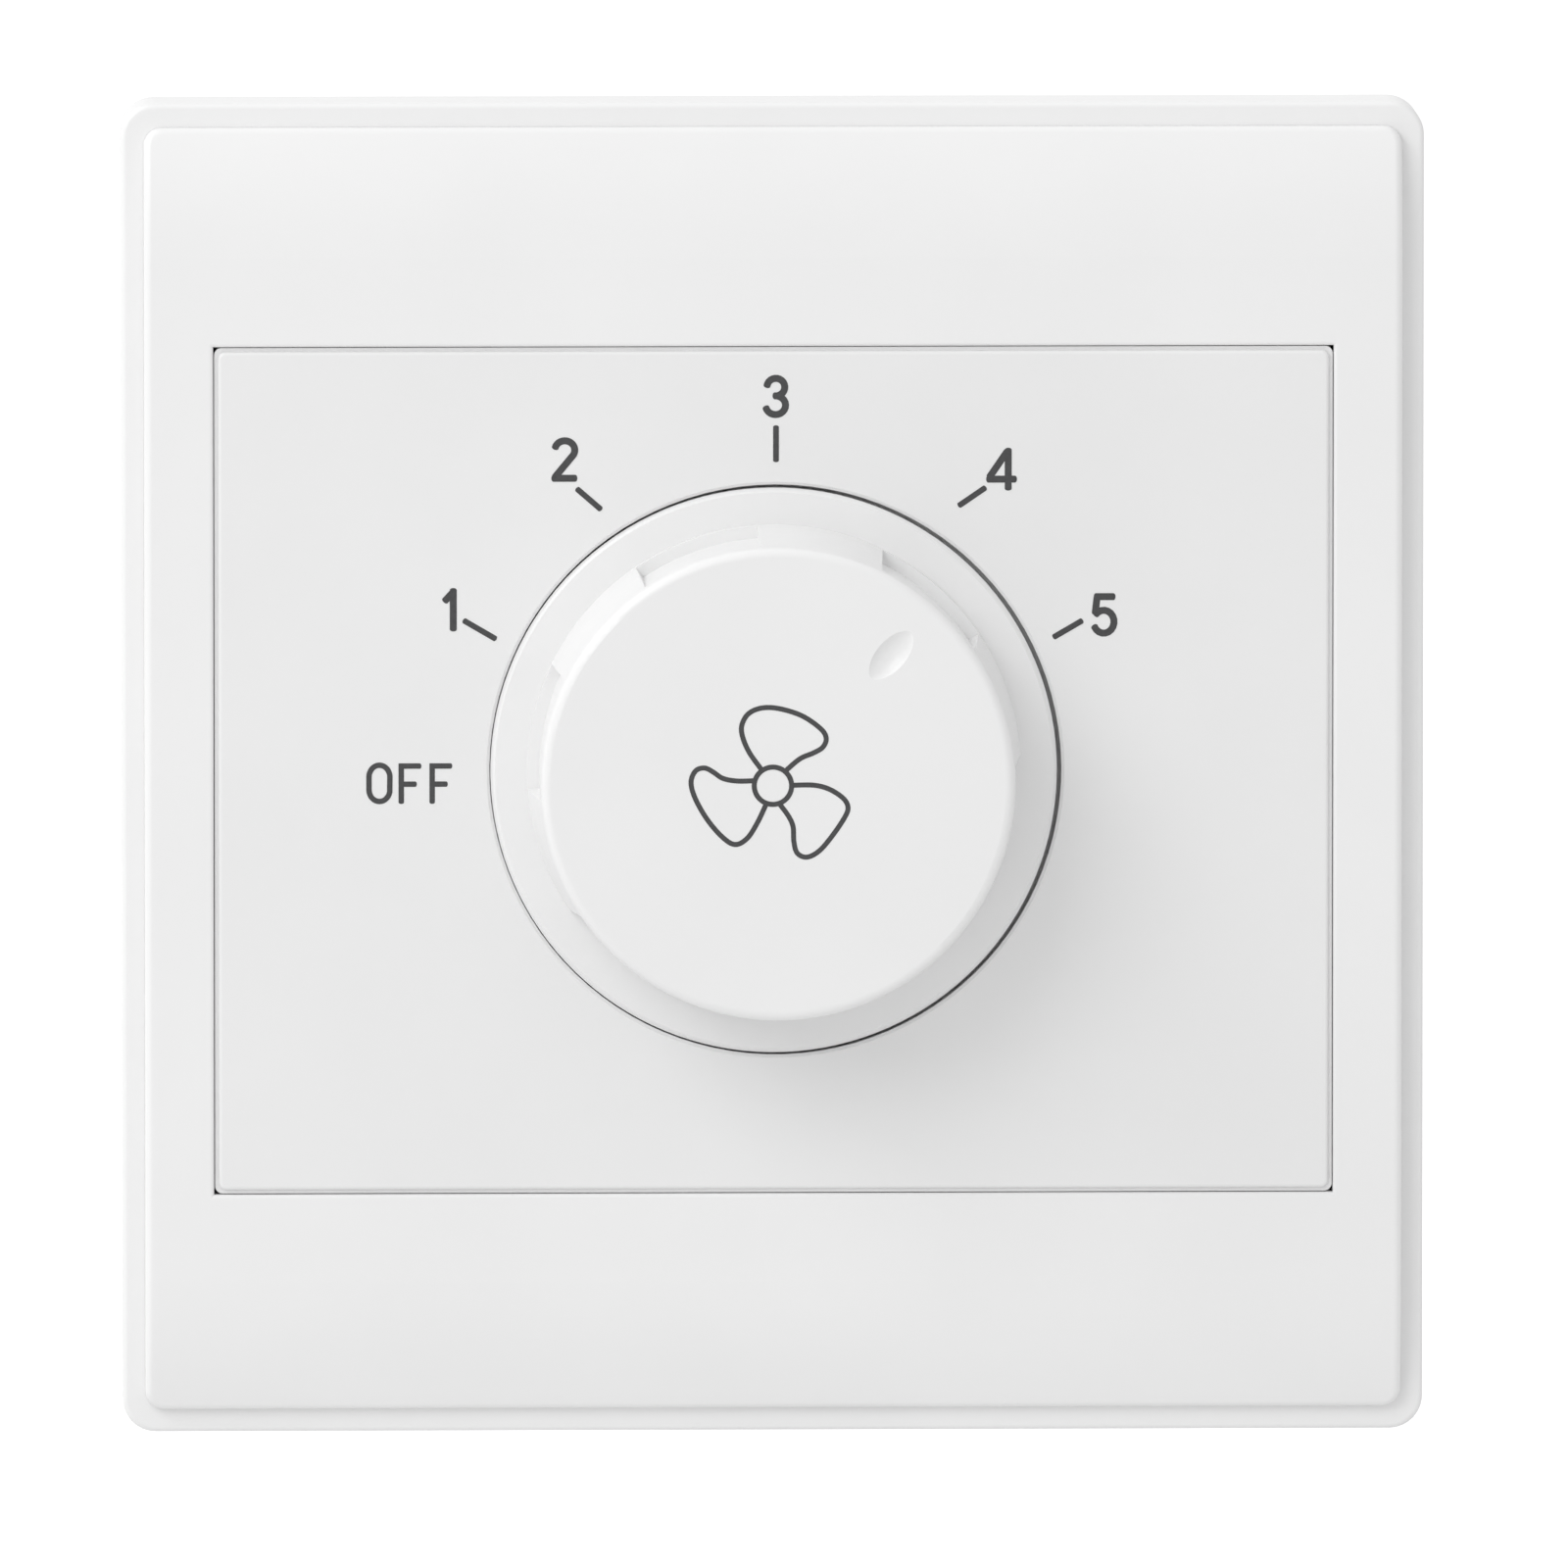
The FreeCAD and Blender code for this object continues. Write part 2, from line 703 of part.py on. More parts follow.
def make_knob():
    """One moulding: skirt, tapered grip, finger recesses, pointer dimple, boss, ribs and bore."""
    inner_base = knob_base_radius - grip_depth - knob_wall
    inner_top = knob_top_radius - knob_wall
    cavity = turned([
        (knob_boss_radius, knob_cavity_front),
        (inner_top, knob_cavity_front),
        (inner_base, skirt_back),
        (inner_base, skirt_back + PAST),
        (knob_boss_radius, skirt_back + PAST),
    ])
    rib_back = (knob_cavity_front + skirt_back) / 2
    for angle in (0, 90):
        rib = centred_box(2 * knob_base_radius, knob_rib_width, knob_cavity_front, rib_back)
        cavity = cavity.cut(turn(rib, pointer_angle + angle))
    above_boss = disc(knob_boss_radius + thread_clearance, boss_back, skirt_back + PAST)
    past = shaft_radius + PAST
    bore = disc(shaft_radius + key_clearance, bore_front, boss_back)
    bore = bore.cut(box(knob_clip_seat, past, bore_front, boss_back, -past, past))
    knob = knob_outside().cut(cavity).cut(above_boss)
    return knob.cut(turn(bore, pointer_angle)).cut(pointer_dimple())


def bowed_strip(length, width, thickness, bow, seat, front):
    """Spring strip across +X that bows towards the axis, with its ends on a seat that far out."""
    half = length / 2
    radius = (half ** 2 + bow ** 2) / (2 * bow)
    outer = radius - thickness
    centre = seat + math.sqrt(outer ** 2 - half ** 2)

    def arc_point(r, z):
        return Vector(centre - math.sqrt(r ** 2 - z ** 2), front, z)

    inner_arc = Part.Arc(arc_point(radius, -half), arc_point(radius, 0), arc_point(radius, half)).toShape()
    outer_arc = Part.Arc(arc_point(outer, half), arc_point(outer, 0), arc_point(outer, -half)).toShape()
    ends = [Part.makeLine(arc_point(radius, half), arc_point(outer, half)),
            Part.makeLine(arc_point(outer, -half), arc_point(radius, -half))]
    return Part.Face(Part.Wire([inner_arc, ends[0], outer_arc, ends[1]])).extrude(Vector(0, width, 0))


def make_knob_clip():
    """Bowed steel strip between the shaft's flat and the bore."""
    strip = bowed_strip(knob_clip_length, knob_clip_width, knob_clip_thickness, knob_clip_bow,
                        knob_clip_seat, 0)
    strip.rotate(ORIGIN, Vector(1, 0, 0), -90)
    middle = (shaft_front + boss_back) / 2
    strip.translate(Vector(0, middle - strip.BoundBox.Center.y, -strip.BoundBox.Center.z))
    return turn(strip, pointer_angle)


def make_shaft():
    """Shaft with a flat for the knob, a groove for the circlip and two flats for the switch."""
    shaft = disc(shaft_radius, shaft_front, hub_back)
    shaft = shaft.makeChamfer(shaft_chamfer, edges_where(shaft, at_depth(shaft_front)))
    past = shaft_radius + PAST
    flat = box(shaft_flat_distance, past, shaft_front - PAST, boss_back, -past, past)
    shaft = shaft.cut(turn(flat, pointer_angle))
    shaft = shaft.cut(ring(past, shaft_radius - circlip_groove_depth, circlip_front, circlip_back))
    around = disc(past, wheel_front, hub_back + PAST)
    return shaft.cut(around.cut(shaft_key(0, wheel_front, hub_back + PAST)))


def make_shaft_circlip():
    """Open ring in the shaft's groove, in front of the bushing."""
    grip = shaft_radius - circlip_groove_depth
    clip = ring(circlip_radius, grip, circlip_front + circlip_play / 4, circlip_back - circlip_play / 4)
    half = circlip_mouth / 2
    mouth = box(0, circlip_radius + PAST, circlip_front, circlip_back, -half, half)
    return turn(clip.cut(mouth), pointer_angle + 90)


def key_lug(clearance):
    """Lug that stops the switch turning in the frame, or the hole for it."""
    inner = washer_radius + switch_wall
    half = switch_wall + clearance
    return box(-half, half, web_front - clearance, web_back + clearance, -inner - 2 * half, -inner)


def make_switch_front_plate():
    """Steel plate with the bushing, the anti-turn lug and the groove that stops the wheel."""
    size = 2 * switch_half
    plate = centred_block(size, size, web_back, switch_plate_back, switch_corner_radius)
    bushing = disc(bushing_radius, bushing_front, web_back)
    bushing = bushing.makeChamfer(bushing_chamfer, edges_where(bushing, at_depth(bushing_front)))
    body = fused([plate, bushing, key_lug(0)])
    body = body.cut(disc(shaft_radius + shaft_clearance, bushing_front - PAST, switch_plate_back + PAST))
    for x, z in switch_screw_places():
        body = body.cut(disc(switch_screw_radius, web_back - PAST, switch_plate_back + PAST, x, z))
    half = stop_lug_radius + stop_groove_gap
    floor = wheel_front - stop_lug_height - stop_groove_gap
    low = stop_lug_angle() + top_speed_angle - pointer_angle - stop_overtravel
    high = stop_lug_angle() + off_angle - pointer_angle + stop_overtravel
    inner = stop_lug_distance - half
    outer = stop_lug_distance + half
    body = body.cut(sector(inner, outer, floor, switch_plate_back, low, high - low))
    for angle in (low, high):
        body = body.cut(disc(half, floor, switch_plate_back, *polar(stop_lug_distance, angle)))
    return body


def stop_lug_angle():
    """Angle of the wheel's stop lug as shown."""
    return pointer_angle + 180.0


def make_bushing_washer():
    """Flat washer under the nut."""
    return ring(washer_radius, bushing_radius + thread_clearance, washer_front, web_front)


def make_bushing_nut():
    """Hexagon nut with its outer corners chamfered."""
    points = []
    for number in range(6):
        x, z = polar(nut_corner_radius, 60 * number + 30)
        points.append(Vector(x, nut_front, z))
    nut = extruded(points, Vector(0, nut_thickness, 0))
    fall = (nut_corner_radius - nut_across_flats / 2) / 2
    cone = turned([
        (0, nut_front),
        (nut_across_flats / 2, nut_front),
        (nut_corner_radius, nut_front + fall),
        (nut_corner_radius, washer_front),
        (0, washer_front),
    ])
    thread = disc(bushing_radius + thread_clearance, nut_front - PAST, washer_front + PAST)
    return nut.common(cone).cut(thread)


def make_index_wheel():
    """Star wheel: notches for the ball and a lug that meets the stops."""
    wheel = disc(wheel_radius, wheel_front, wheel_back)
    reach = wheel_radius + notch_radius - notch_depth
    pitch = FULL_TURN / wheel_notches
    for number in range(wheel_notches):
        angle = ball_angle + pointer_angle - top_speed_angle + number * pitch
        x, z = polar(reach, angle)
        wheel = wheel.cut(disc(notch_radius, wheel_front - PAST, wheel_back + PAST, x, z))
    x, z = polar(stop_lug_distance, stop_lug_angle())
    lug = disc(stop_lug_radius, wheel_front - stop_lug_height, wheel_front, x, z)
    return fused([wheel, lug]).cut(shaft_key(key_clearance, wheel_front - PAST, wheel_back + PAST))


def make_detent_housing():
    """Moulded block round the wheel, with the ball's channel and the spring's slot."""
    size = 2 * switch_half
    block = centred_block(size, size, switch_plate_back, detent_back, switch_corner_radius)
    block = block.cut(disc(wheel_radius + wheel_gap * 2, switch_plate_back, detent_floor))
    block = block.cut(disc(shaft_radius + rotor_gap, detent_floor, detent_back))
    half = ball_radius + ball_gap
    channel = box(-half, half, switch_plate_back, detent_floor, wheel_radius, spring_middle)
    spring_half = spring_length / 2 + ball_gap
    pocket_floor = spring_middle - ball_gap
    pocket = box(-spring_half, spring_half, switch_plate_back, spring_back(), pocket_floor, spring_seat)
    block = block.cut(channel).cut(pocket)
    hole = switch_screw_radius + screw_hole_gap
    for x, z in switch_screw_places():
        block = block.cut(disc(hole, switch_plate_back - PAST, detent_back + PAST, x, z))
    return block


def spring_back():
    """Depth that the detent spring reaches."""
    return (wheel_front + wheel_back + spring_width) / 2


def make_detent_ball():
    """Steel ball that drops into the wheel's notches, shown on the crest between two speeds."""
    x, z = polar(ball_distance, ball_angle)
    return Part.makeSphere(ball_radius, Vector(x, (wheel_front + wheel_back) / 2, z))


def make_detent_spring():
    """Bowed leaf spring that presses the ball on the wheel."""
    front = spring_back() - spring_width
    strip = bowed_strip(spring_length, spring_width, spring_thickness, spring_bow, spring_seat, front)
    return turn(strip, ball_angle)


def make_contact_base():
    """Insulating cup that carries the fixed contacts."""
    size = 2 * switch_half
    block = centred_block(size, size, detent_back, base_back, switch_corner_radius)
    block = block.cut(disc(base_cavity_radius, detent_back, base_floor))
    for x, z in switch_pin_places():
        block = block.cut(pin_block(x, z, base_floor - PAST, base_back + PAST, pin_clearance))
    for x, z in switch_screw_places():
        block = block.cut(disc(switch_screw_radius + screw_hole_gap, detent_back - PAST, base_back, x, z))
        seat = base_back - switch_screw_head_height - screw_hole_gap
        block = block.cut(disc(switch_screw_head_radius + screw_hole_gap, seat, base_back + PAST, x, z))
    return block


def make_speed_contacts():
    """One contact stud with its pin for each speed."""
    contacts = []
    for x, z in switch_pin_places()[:-1]:
        pad = disc(contact_pad_radius, contact_face, base_floor, x, z)
        contacts.append(fused([pad, pin_block(x, z, base_floor, pin_end)]))
    return Part.makeCompound(contacts)


def make_common_contact():
    """Ring that the wiper always touches, with its pin."""
    track = ring(common_outer_radius, common_inner_radius, contact_face, base_floor)
    return fused([track, pin_block(*switch_pin_places()[-1], base_floor, pin_end)])


def make_contact_rotor():
    """Insulating disc on the shaft that carries the wiper."""
    rotor = disc(rotor_radius, rotor_front, rotor_back)
    hub = disc(rotor_hub_radius, rotor_back, hub_back)
    x, z = polar(wiper_stud_distance(), pointer_angle)
    stud = disc(wiper_stud_radius, rotor_back, rotor_back + 2 * wiper_thickness, x, z)
    return fused([rotor, hub, stud]).cut(shaft_key(key_clearance, rotor_front - PAST, hub_back + PAST))


def wiper_stud_distance():
    """How far the wiper's rivet stands from the axis."""
    return (contact_radius + rotor_hub_radius) / 2 - wiper_stud_radius / 2


def make_wiper():
    """Bronze blade that bridges the common ring and one speed contact."""
    middle = wiper_stud_distance()
    flat_half = 2 * wiper_stud_radius
    foot = wiper_thickness / 2
    seat = rotor_back
    outline = [
        (middle - flat_half, seat),
        (middle + flat_half, seat),
        (contact_radius + foot, wiper_tip),
        (contact_radius - foot, wiper_tip),
        (middle + flat_half - foot, seat + wiper_thickness),
        (middle - flat_half + foot, seat + wiper_thickness),
        (common_radius + foot, wiper_tip),
        (common_radius - foot, wiper_tip),
    ]
    points = [Vector(radius, depth, -wiper_width / 2) for radius, depth in outline]
    blade = extruded(points, Vector(0, 0, wiper_width))
    hole = disc(wiper_stud_radius + key_clearance, seat - PAST, seat + PAST, middle)
    return turn(blade.cut(hole), pointer_angle)


def make_switch_screws():
    """Two screws from the back of the contact base into the front plate."""
    seat = base_back - switch_screw_head_height - screw_hole_gap
    length = seat - (web_back + switch_plate_back) / 2
    screw = pan_head_screw(switch_screw_radius, switch_screw_head_radius, switch_screw_head_height,
                           seat, length, INTO_WALL)
    return copies(screw, switch_screw_places())


def make_circuit_board():
    """Board that joins the switch, the choke and the terminals."""
    board = centred_box(2 * board_half_width, 2 * board_half_height, board_front, board_back)
    relief = boss_radius + board_edge_gap
    cuts = [disc(relief, board_front, board_back, x, z) for x, z in corners(boss_x, boss_z)]
    for x, z in corners(board_half_width, board_half_height):
        reach = boss_corner_offset
        cuts.append(box(x - reach, x + reach, board_front, board_back, z - reach, z + reach))
    pins = switch_pin_places() + choke_pin_places() + [(x, clamp_middle_z) for x in terminal_places()]
    cuts += [pin_block(x, z, board_front - PAST, board_back + PAST, pin_clearance) for x, z in pins]
    cuts += [bracket_tab(side, pin_clearance) for side in (-1, 1)]
    return board.cut(Part.makeCompound(cuts))


def bracket_tab(side, clearance):
    """Tab of the choke's bracket through the board, or the hole for it."""
    inner = core_width / 2 - clearance
    outer = core_width / 2 + bracket_thickness + clearance
    half = bracket_tab_width / 2 + clearance
    return box(min(side * inner, side * outer), max(side * inner, side * outer), board_front - pin_protrusion,
               core_middle, choke_z - half, choke_z + half)


def make_choke_core():
    """Laminated core with a centre leg and two windows."""
    half_width = core_width / 2
    half_height = core_height / 2
    core = box(-half_width, half_width, core_front, core_back, choke_z - half_height, choke_z + half_height)
    window_half = half_height - core_leg
    for side in (-1, 1):
        middle = side * 1.5 * core_leg
        core = core.cut(box(middle - core_leg / 2, middle + core_leg / 2, core_front - PAST, core_back + PAST,
                            choke_z - window_half, choke_z + window_half))
    return core


def choke_block(spare, low, high):
    """Block round the centre leg, larger than it by spare all round."""
    half = core_leg + spare
    return box(-half, half, core_front - spare, core_back + spare, low, high)


def make_choke_bobbin():
    """Moulded former: tube and two flanges, with a foot for the pins above and two corner feet below."""
    bottom = choke_z - core_height / 2 + core_leg + bobbin_fit
    top = choke_z + core_height / 2 - core_leg - bobbin_fit
    tube = choke_block(bobbin_fit + bobbin_wall, bottom, top)
    half_width = core_leg * 2 - coil_side_gap / 2
    front = coil_front - bobbin_fit
    back = coil_back + bobbin_fit
    ends = []
    for low in (bottom, top - bobbin_flange_thickness):
        ends.append(box(-half_width, half_width, front, back, low, low + bobbin_flange_thickness))
    ends.append(box(-half_width, half_width, board_back, front, top - bobbin_foot_depth, top))
    for left in (-half_width, half_width - bobbin_foot_width):
        right = left + bobbin_foot_width
        ends.append(box(left, right, board_back, front, bottom, bottom + bobbin_foot_depth))
    body = fused([tube] + ends).cut(choke_block(bobbin_fit, bottom - PAST, top + PAST))
    holes = [pin_block(x, z, board_back - PAST, front, pin_clearance) for x, z in choke_pin_places()]
    return body.cut(Part.makeCompound(holes))


def make_choke_winding():
    """Wound copper between the flanges."""
    flange = bobbin_fit + bobbin_flange_thickness
    low = choke_z - core_height / 2 + core_leg + flange
    high = choke_z + core_height / 2 - core_leg - flange
    half_width = core_leg * 2 - coil_side_gap
    winding = box(-half_width, half_width, coil_front, coil_back, low, high)
    along = [edge for edge in winding.Edges if near(edge.BoundBox.ZLength, high - low)]
    winding = winding.makeFillet(coil_corner_radius, along)
    return winding.cut(choke_block(bobbin_fit + bobbin_wall, low - PAST, high + PAST))


def make_choke_pins():
    """Pins of the taps, from the bobbin's foot through the board."""
    front = board_front - pin_protrusion
    back = coil_front - bobbin_fit
    return Part.makeCompound([pin_block(x, z, front, back) for x, z in choke_pin_places()])


def make_choke_bracket():
    """Steel channel round three sides of the core, with two tabs through the board."""
    inner_x = core_width / 2
    outer_x = inner_x + bracket_thickness
    bottom = choke_z - core_height / 2
    top = choke_z + core_height / 2
    channel = box(-outer_x, outer_x, core_front, core_back, bottom, top + bracket_thickness)
    channel = channel.cut(box(-inner_x, inner_x, core_front - PAST, core_back + PAST, bottom - PAST, top))
    return fused([channel, bracket_tab(-1, 0), bracket_tab(1, 0)])


def make_terminal_block():
    """Moulded block with a clamp chamber, a wire entry and a screw well for each terminal."""
    block = box(-terminal_half_width, terminal_half_width, board_back, terminal_back,
                terminal_bottom, terminal_top)
    chamber_half = clamp_width / 2 + clamp_fit
    chamber_back = clamp_front + clamp_height + clamp_fit
    chamber_bottom = clamp_middle_z - clamp_depth / 2 - clamp_fit
    chamber_top = clamp_middle_z + clamp_depth / 2 + clamp_fit
    entry_depth = clamp_middle_z - terminal_bottom + PAST
    for x in terminal_places():
        block = block.cut(box(x - chamber_half, x + chamber_half, board_back, chamber_back,
                              chamber_bottom, chamber_top))
        mouth = Vector(x, wire_middle, terminal_bottom - PAST)
        block = block.cut(Part.makeCylinder(wire_entry_radius, entry_depth, mouth, Vector(0, 0, 1)))
        well = terminal_screw_head_radius + screw_hole_gap
        block = block.cut(disc(well, chamber_back - PAST, terminal_back + PAST, x, clamp_middle_z))
    return block


def make_terminal_clamps():
    """Brass cages with a window for the wire, a tapped back wall and a solder pin."""
    clamps = []
    clamp_back = clamp_front + clamp_height
    half_window = clamp_window / 2
    for x in terminal_places():
        cage = box(x - clamp_width / 2, x + clamp_width / 2, clamp_front, clamp_back,
                   clamp_middle_z - clamp_depth / 2, clamp_middle_z + clamp_depth / 2)
        window = box(x - half_window, x + half_window, wire_middle - half_window, wire_middle + half_window,
                     clamp_middle_z - clamp_depth, clamp_middle_z + clamp_depth)
        tapped = disc(terminal_screw_radius, wire_middle, clamp_back + PAST, x, clamp_middle_z)
        pin = pin_block(x, clamp_middle_z, board_front - pin_protrusion, clamp_front)
        clamps.append(fused([cage.cut(window).cut(tapped), pin]))
    return Part.makeCompound(clamps)


def make_terminal_screws():
    """Slotted clamp screws, backed out ready for a wire."""
    head_face = terminal_back - terminal_screw_recess - terminal_screw_head_height
    length = head_face - (wire_middle + clamp_window / 2)
    screw = pan_head_screw(terminal_screw_radius, terminal_screw_head_radius, terminal_screw_head_height,
                           head_face, length, INTO_WALL)
    return copies(screw, [(x, clamp_middle_z) for x in terminal_places()])


def housing_form(inset, front, radius):
    """Form of the rear housing less an inset: full height in front, stepped behind the terminals."""
    half_width = housing_width / 2 - inset
    half_height = housing_height / 2 - inset
    bottom = step_wall_bottom + inset
    lower = centred_block(2 * half_width, 2 * half_height, front, step_back - inset, radius)
    upper = rounded_block(-half_width, half_width, front, housing_back - inset, bottom, half_height, radius)
    return fused([lower, upper])


def make_rear_housing():
    """Stepped moulded box with corner bosses, board ribs, vents and a notch for the terminal block."""
    hollow = housing_form(housing_wall, housing_front - PAST, housing_inner_radius)
    shell = housing_form(0, housing_front, housing_corner_radius).cut(hollow)
    inside = housing_form(housing_wall / 2, housing_front, housing_inner_radius)
    bosses = []
    for x, z in corners(boss_x, boss_z):
        bosses.append(disc(boss_radius, housing_front, boss_back_end, x, z).common(inside))
    rib_back = housing_inner_back + housing_wall / 2
    ribs = []
    for x, z in corners(inner_half_width, board_rib_offset):
        side = math.copysign(1, x)
        edges = sorted([x + side * housing_wall / 2, x - side * board_rib_size])
        low = z + choke_z - board_rib_size / 2
        ribs.append(box(edges[0], edges[1], board_back, rib_back, low, low + board_rib_size))
    housing = fused([shell] + bosses + ribs)
    hole_end = boss_back_end - housing_wall
    cuts = []
    for x, z in corners(boss_x, boss_z):
        cuts.append(disc(housing_screw_radius, housing_front - PAST, hole_end, x, z))
    notch_half = terminal_half_width + screw_hole_gap
    cuts.append(box(-notch_half, notch_half, board_back - screw_hole_gap, step_back + PAST,
                    -housing_height, terminal_top + screw_hole_gap))
    half_width = vent_width / 2
    half_length = vent_length / 2
    first = -(vent_count - 1) * vent_pitch / 2
    for number in range(vent_count):
        step = first + number * vent_pitch
        cuts.append(box(step - half_width, step + half_width, housing_inner_back - PAST, housing_back + PAST,
                        choke_z - half_length, choke_z + half_length))
    for number in range(top_vent_count):
        y = core_middle + (number - (top_vent_count - 1) / 2) * vent_pitch
        cuts.append(box(-half_length, half_length, y - half_width, y + half_width,
                        inner_half_height - PAST, housing_height / 2 + PAST))
    return housing.cut(Part.makeCompound(cuts))


def make_housing_screws():
    """Four screws from the front of the web into the housing's bosses."""
    screw = pan_head_screw(housing_screw_radius, housing_screw_head_radius, housing_screw_head_height,
                           web_front, housing_screw_length, TO_VIEWER)
    return copies(screw, corners(boss_x, boss_z))


PARTS = {
    "mounting_frame": make_mounting_frame,
    "front_cover": make_front_cover,
    "dial_panel": make_dial_panel,
    "knob": make_knob,
    "knob_clip": make_knob_clip,
    "shaft": make_shaft,
    "shaft_circlip": make_shaft_circlip,
    "switch_front_plate": make_switch_front_plate,
    "bushing_washer": make_bushing_washer,
    "bushing_nut": make_bushing_nut,
    "index_wheel": make_index_wheel,
    "detent_housing": make_detent_housing,
    "detent_ball": make_detent_ball,
    "detent_spring": make_detent_spring,
    "contact_base": make_contact_base,
    "speed_contacts": make_speed_contacts,
    "common_contact": make_common_contact,
    "contact_rotor": make_contact_rotor,
    "wiper": make_wiper,
    "switch_screws": make_switch_screws,
    "circuit_board": make_circuit_board,
    "choke_core": make_choke_core,
    "choke_bobbin": make_choke_bobbin,
    "choke_winding": make_choke_winding,
    "choke_pins": make_choke_pins,
    "choke_bracket": make_choke_bracket,
    "terminal_block": make_terminal_block,
    "terminal_clamps": make_terminal_clamps,
    "terminal_screws": make_terminal_screws,
    "rear_housing": make_rear_housing,
    "housing_screws": make_housing_screws,
}


def main():
    """Writes one STEP file for each sub-part."""
    os.makedirs("parts", exist_ok=True)
    for node, make in PARTS.items():
        make().exportStep("parts/" + node + ".step")


main()
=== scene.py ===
# Looks of a wall-mounted fan speed control: materials, print, light and camera
# The print is drawn flat, in millimetres of the part's frame: x to the right and z up.
import json
import math
import bmesh
import bpy
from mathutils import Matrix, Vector


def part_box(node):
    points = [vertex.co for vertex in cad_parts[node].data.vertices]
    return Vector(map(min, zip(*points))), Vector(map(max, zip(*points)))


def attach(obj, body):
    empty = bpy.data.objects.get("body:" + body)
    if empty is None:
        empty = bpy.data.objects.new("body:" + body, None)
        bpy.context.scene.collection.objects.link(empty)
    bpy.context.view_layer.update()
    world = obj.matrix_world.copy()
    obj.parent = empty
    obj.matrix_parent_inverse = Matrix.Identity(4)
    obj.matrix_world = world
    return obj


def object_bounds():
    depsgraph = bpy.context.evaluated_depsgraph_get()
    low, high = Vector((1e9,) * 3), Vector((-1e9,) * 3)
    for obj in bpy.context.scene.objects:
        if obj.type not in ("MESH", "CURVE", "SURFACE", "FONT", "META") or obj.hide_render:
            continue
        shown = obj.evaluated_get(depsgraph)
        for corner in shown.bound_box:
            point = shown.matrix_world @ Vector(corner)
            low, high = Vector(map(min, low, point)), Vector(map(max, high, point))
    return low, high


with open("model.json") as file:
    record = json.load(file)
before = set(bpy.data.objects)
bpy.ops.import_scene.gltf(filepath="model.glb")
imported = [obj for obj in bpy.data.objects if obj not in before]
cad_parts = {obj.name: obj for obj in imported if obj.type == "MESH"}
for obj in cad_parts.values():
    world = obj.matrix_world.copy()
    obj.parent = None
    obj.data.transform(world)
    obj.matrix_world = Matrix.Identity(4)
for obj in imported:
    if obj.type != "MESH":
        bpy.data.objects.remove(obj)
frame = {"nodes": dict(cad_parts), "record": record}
CAD_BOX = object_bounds()
NODES = frame["nodes"]
MM = 0.001
MICRON = 0.000001
WHITE = (1.0, 1.0, 1.0, 1.0)

# Camera: the photograph's width and scale in pixels, the view in degrees, the aim, sensor and
# lens in millimetres, and the range that it sees in metres
PHOTO_PIXELS = 1600
PIXELS_PER_MM = 15.45
VIEW_ABOVE = 5.0
VIEW_FROM_LEFT = 1.6
AIM_RIGHT = 0.74
AIM_UP = -1.1
AIM_DEPTH = -6.8
SENSOR = 36.0
LENS = 850.0
CLIP_START = 0.1
CLIP_END = 100.0

# Light: levels at which a colour renders about as it is written, the directions that the
# lamps stand in, and their sizes and distance in metres
SKY_LEVEL = 0.755
KEY_LEVEL = 0.26
KEY_FROM = (-0.5, -0.707, 0.5)
KEY_SIZE = 0.9
RAKE_LEVEL = 0.25
RAKE_FROM = (-0.703, -0.105, 0.703)
RAKE_SIZE = 0.7
LAMP_DISTANCE = 1.6

# Floor: lengths in metres, and the glow that lifts it to white where it is seen directly
FLOOR_DROP = 0.03
FLOOR_SIZE = 40.0
FLOOR_GREY = (0.8, 0.8, 0.8, 1.0)
FLOOR_ROUGHNESS = 0.9
FLOOR_SPECULAR = 0.1
FLOOR_GLOW = 0.45

# Print: its thickness over and inside the face, and the widths of its strokes. Each stroke
# lies one step lower than the stroke before it, so that no two tops coincide where they meet.
INK_PROUD = 0.02
INK_SUNK = 0.02
INK_STEP = 0.002
FIGURE_STROKE = 0.46
OFF_STROKE = 0.36
TICK_STROKE = 0.38
FAN_STROKE = 0.33

# Steps of round forms, the bulge of a stroke's end as a share of half its width, the cosine
# below which a bend's mitre grows no longer, and the gap up to which a stroke counts as closed
ARC_STEPS = 16
CIRCLE_STEPS = 48
CURVE_STEPS = 8
CAP_STEPS = 8
CAP_BULGE = 0.6
MITRE_COSINE = 0.5
CLOSED_GAP = 1e-6

# Places of the word and figures on the panel, and the ends of the ticks, all moved by the shift
PRINT_SHIFT = (0.16, 0.18)
OFF_PLACE = (-24.2, -1.04)
FIGURE_PLACES = {
    "1": (-21.4, 10.5),
    "2": (-13.97, 20.42),
    "3": (0.0, 24.6),
    "4": (14.85, 19.72),
    "5": (21.6, 10.05),
}
TICKS = {
    "1": ((-20.56, 9.76), (-18.55, 8.59)),
    "2": ((-13.1, 18.45), (-11.6, 17.15)),
    "3": ((-0.01, 22.54), (-0.01, 20.33)),
    "4": ((13.76, 18.47), (12.1, 17.34)),
    "5": ((20.15, 9.66), (18.36, 8.62)),
}

# Letters of the word OFF, from the word's middle
LETTER_RISE = 1.2
RING_X = -1.98
RING_RADII = (0.69, 0.78)
RING_TOP_Z = 0.48
RING_BOTTOM_Z = -0.36
F_LEFTS = (-0.54, 1.5)
F_TOP_LENGTH = 1.22
F_MIDDLE_LENGTH = 0.92

